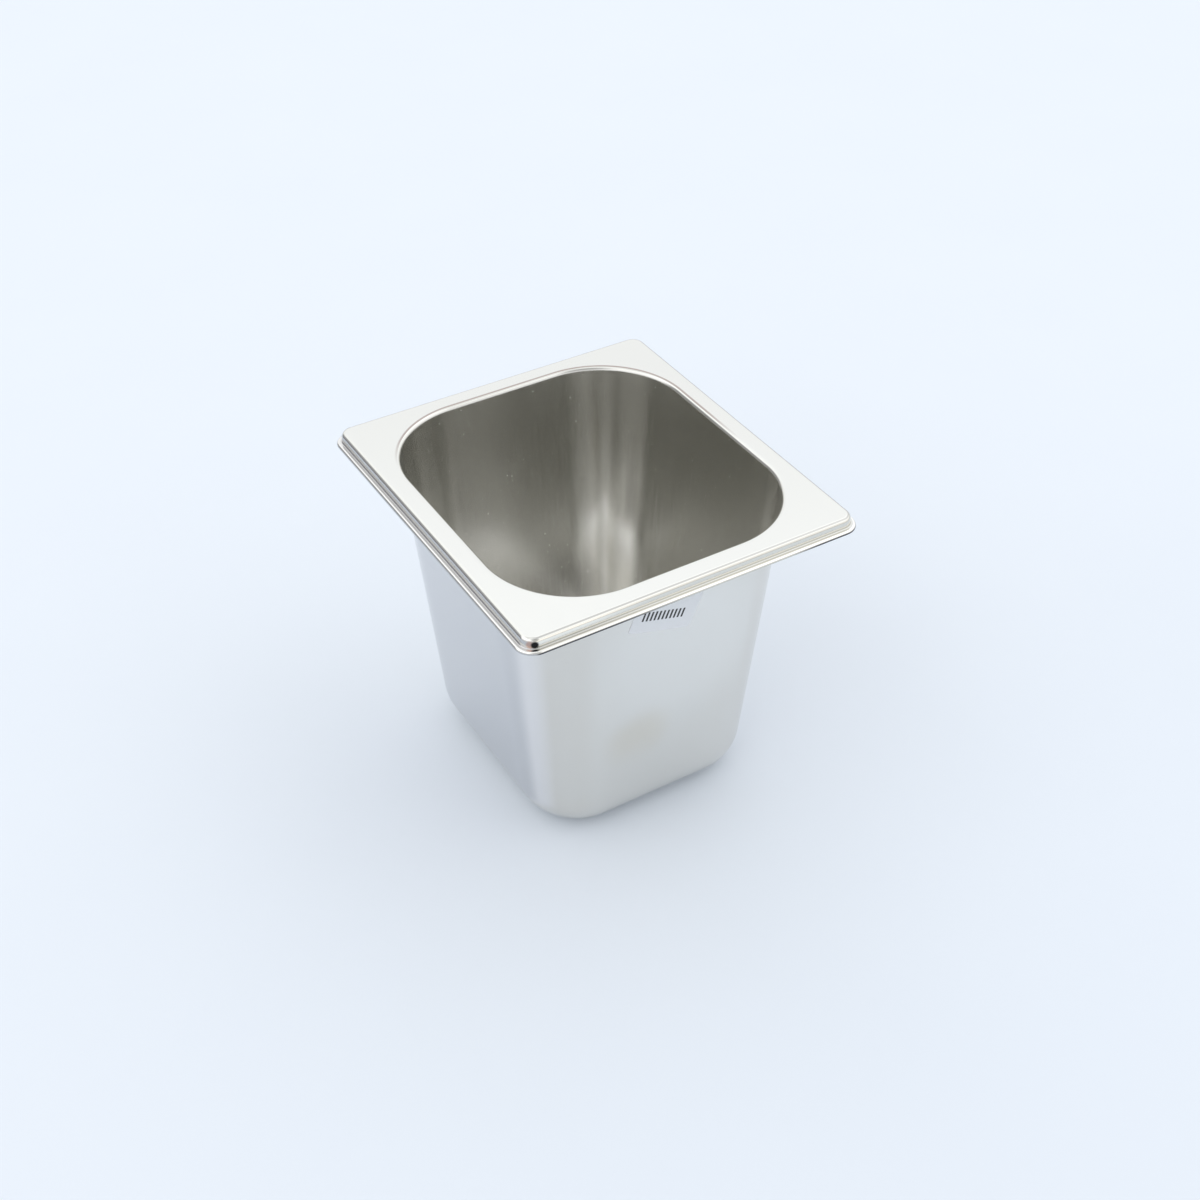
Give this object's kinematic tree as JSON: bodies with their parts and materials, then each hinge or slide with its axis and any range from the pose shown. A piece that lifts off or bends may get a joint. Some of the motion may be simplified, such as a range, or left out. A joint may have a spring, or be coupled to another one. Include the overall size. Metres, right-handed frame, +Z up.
{
  "type": "deli food pan",
  "caption": "Open-topped deep-drawn steel food pan with drafted walls, a rounded-corner mouth, a flat stepped rim and a small label on its front wall.",
  "frame": {"origin": "centre of the underside of the base, where the pan stands", "axes": "+Z up out of the mouth, +Y along the rim's longer side, +X along its shorter side; the label is on the -Y wall"},
  "size_m": [0.162, 0.176, 0.15],
  "materials": {
    "steel": "satin",
    "label": "satin",
    "print": "matt"
  },
  "bodies": {
    "root": {"pan": "steel", "label": "label"}
  },
  "joints": []
}
